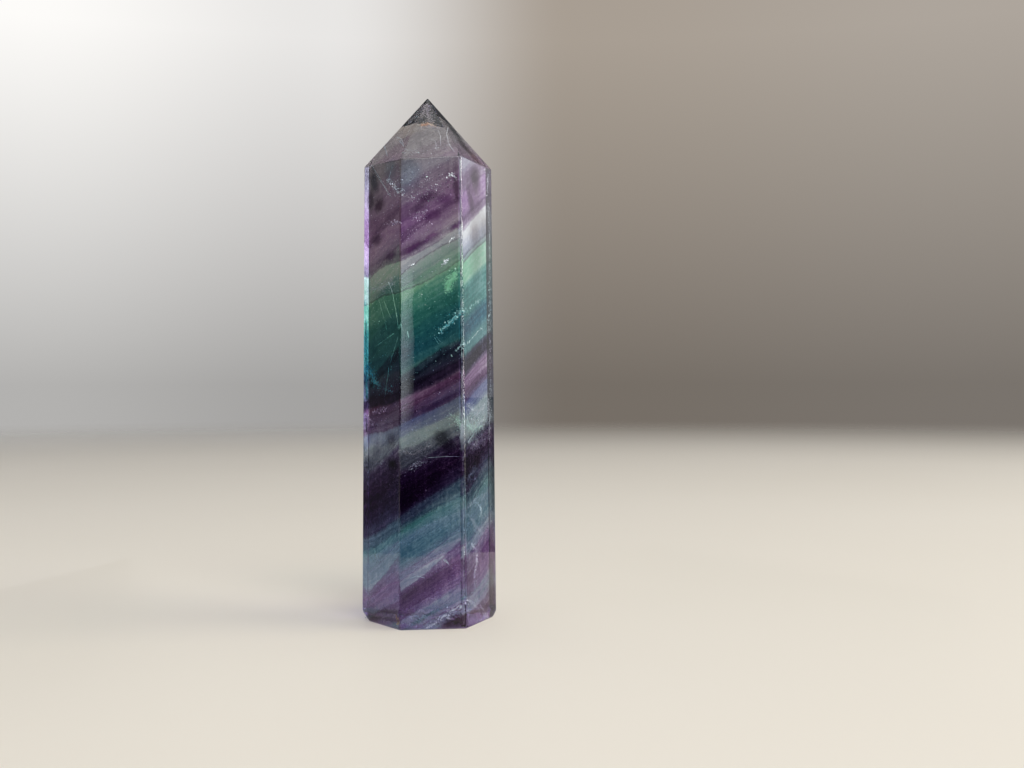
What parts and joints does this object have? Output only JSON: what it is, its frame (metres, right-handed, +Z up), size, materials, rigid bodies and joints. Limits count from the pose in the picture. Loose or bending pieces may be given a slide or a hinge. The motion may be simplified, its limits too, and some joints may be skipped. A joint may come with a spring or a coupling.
{
  "type": "fluorite point",
  "caption": "Polished crystal tower of banded fluorite that narrows to a faceted tip and stands on its flat base as an ornament.",
  "frame": {"origin": "middle of the flat base, on the surface that the point stands on", "axes": "+Z up along the point towards its tip, -Y out of the front face that the picture sees most squarely, +X to the right as seen from the front"},
  "size_m": [0.0231, 0.0202, 0.09],
  "materials": {
    "fluorite": "polished and see-through, with slanting bands of violet, lilac, green, teal and blue-grey, fine internal veils and eased edges"
  },
  "bodies": {
    "root": {"fluorite_point": "fluorite"}
  },
  "joints": []
}
